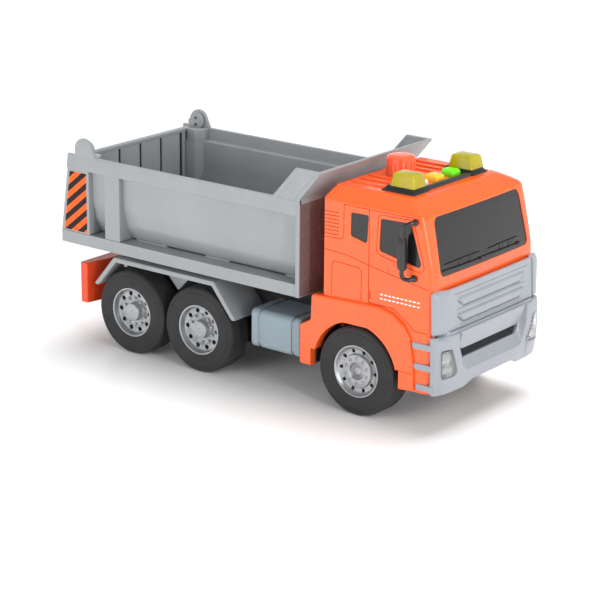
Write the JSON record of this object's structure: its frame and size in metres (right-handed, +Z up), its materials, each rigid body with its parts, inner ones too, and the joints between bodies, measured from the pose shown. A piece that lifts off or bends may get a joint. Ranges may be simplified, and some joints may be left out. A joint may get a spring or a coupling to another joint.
{
  "type": "toy dump truck",
  "caption": "Friction-driven toy tipper truck with an orange cab, grey tipping body with swinging tailgate, smoked windows, roof lamps and push buttons.",
  "frame": {"origin": "on the ground under the truck, on its centreline, midway between the tail and the nose", "axes": "+X towards the truck's front, +Y to the truck's left, +Z up"},
  "size_m": [0.28, 0.1144, 0.1386],
  "materials": {
    "cab_orange": "gloss moulded ABS",
    "body_grey": "gloss moulded ABS",
    "beam_orange": "gloss moulded ABS",
    "chassis_black": "fine texture",
    "trim_black": "satin",
    "tank_blue_grey": "satin",
    "tyre_rubber": "matt",
    "rim_plated": "vacuum plated plastic, satin",
    "steel": "drawn",
    "gear_nylon": "natural nylon",
    "motor_case": "fine texture",
    "flywheel_steel": "turned",
    "smoked_glass": "dark smoked, gloss",
    "clear_lens": "clear, gloss",
    "amber_lens": "translucent, gloss",
    "beacon_lens": "translucent, fluted inside",
    "button_white": "gloss",
    "button_yellow": "gloss",
    "button_green": "gloss",
    "silicone": "matt",
    "board_green": "solder resist",
    "speaker_black": "painted",
    "cell_wrap": "printed sleeve",
    "contact_plate": "nickel plated",
    "decal_print": "printed film"
  },
  "bodies": {
    "chassis": {"motor_case_lower": "motor_case", "motor_case_upper": "motor_case", "chassis_frame": "chassis_black", "tipper_hinge_pin": "steel", "chassis_screws": "steel", "battery_cell_right": "cell_wrap", "battery_cell_left": "cell_wrap", "battery_contacts": "contact_plate", "battery_door": "chassis_black", "battery_door_screw": "steel", "rear_fender_right": "body_grey", "rear_fender_left": "body_grey", "fuel_tank_right": "tank_blue_grey", "fuel_tank_left": "tank_blue_grey", "rear_bumper": "beam_orange", "cab_shell": "cab_orange", "windscreen": "smoked_glass", "side_glazing_right": "smoked_glass", "side_glazing_left": "smoked_glass", "front_panel": "body_grey", "front_bumper": "body_grey", "bumper_mesh": "trim_black", "headlight_right": "clear_lens", "headlight_left": "clear_lens", "mirror_right": "trim_black", "mirror_left": "trim_black", "light_bar": "trim_black", "amber_lens_right": "amber_lens", "amber_lens_left": "amber_lens", "beacon_dome": "beacon_lens", "keypad_membrane": "silicone", "circuit_board": "board_green", "speaker": "speaker_black"},
    "front_wheels": {"front_axle": "steel", "front_tyre_right": "tyre_rubber", "front_rim_right": "rim_plated", "front_tyre_left": "tyre_rubber", "front_rim_left": "rim_plated"},
    "middle_wheels": {"middle_axle": "steel", "middle_tyre_right": "tyre_rubber", "middle_rim_right": "rim_plated", "middle_tyre_left": "tyre_rubber", "middle_rim_left": "rim_plated", "drive_gear": "gear_nylon"},
    "rear_wheels": {"rear_axle": "steel", "rear_tyre_right": "tyre_rubber", "rear_rim_right": "rim_plated", "rear_tyre_left": "tyre_rubber", "rear_rim_left": "rim_plated"},
    "idler": {"idler_gear": "gear_nylon"},
    "flywheel": {"flywheel": "flywheel_steel", "flywheel_pinion": "gear_nylon"},
    "tipper": {"tipper_tub": "body_grey", "tipper_base": "body_grey", "hazard_decals": "decal_print"},
    "tailgate": {"tailgate": "body_grey"},
    "button_white": {"button_white": "button_white"},
    "button_yellow": {"button_yellow": "button_yellow"},
    "button_green": {"button_green": "button_green"}
  },
  "joints": [
    {"name": "front_wheels_spin", "type": "hinge", "parent": "chassis", "child": "front_wheels", "pos_m": [0.0827, 0, 0.02575], "axis": [0, 1, 0], "continuous": true},
    {"name": "middle_wheels_spin", "type": "hinge", "parent": "chassis", "child": "middle_wheels", "pos_m": [-0.0322, 0, 0.02575], "axis": [0, 1, 0], "continuous": true},
    {"name": "rear_wheels_spin", "type": "hinge", "parent": "chassis", "child": "rear_wheels", "pos_m": [-0.0852, 0, 0.02575], "axis": [0, 1, 0], "continuous": true},
    {"name": "idler_spin", "type": "hinge", "parent": "chassis", "child": "idler", "pos_m": [-0.02421, 0, 0.03134], "axis": [0, 1, 0], "continuous": true},
    {"name": "flywheel_spin", "type": "hinge", "parent": "chassis", "child": "flywheel", "pos_m": [-0.01622, 0, 0.03693], "axis": [0, 1, 0], "continuous": true},
    {"name": "tipper_lift", "type": "hinge", "parent": "chassis", "child": "tipper", "pos_m": [-0.119, 0, 0.0555], "axis": [0, -1, 0], "range_deg": [0, 45]},
    {"name": "tailgate_swing", "type": "hinge", "parent": "tipper", "child": "tailgate", "pos_m": [-0.1197, 0, 0.1209], "axis": [0, 1, 0], "range_deg": [0, 70]},
    {"name": "button_white_press", "type": "slide", "parent": "chassis", "child": "button_white", "axis": [0, 0, -1], "range_m": [0, 0.0012], "stiffness_N_per_m": 300, "springref_m": -0.001},
    {"name": "button_yellow_press", "type": "slide", "parent": "chassis", "child": "button_yellow", "axis": [0, 0, -1], "range_m": [0, 0.0012], "stiffness_N_per_m": 300, "springref_m": -0.001},
    {"name": "button_green_press", "type": "slide", "parent": "chassis", "child": "button_green", "axis": [0, 0, -1], "range_m": [0, 0.0012], "stiffness_N_per_m": 300, "springref_m": -0.001}
  ],
  "couplings": [
    {"joint": "idler_spin", "follows": "middle_wheels_spin", "ratio": -2},
    {"joint": "flywheel_spin", "follows": "middle_wheels_spin", "ratio": 4}
  ]
}
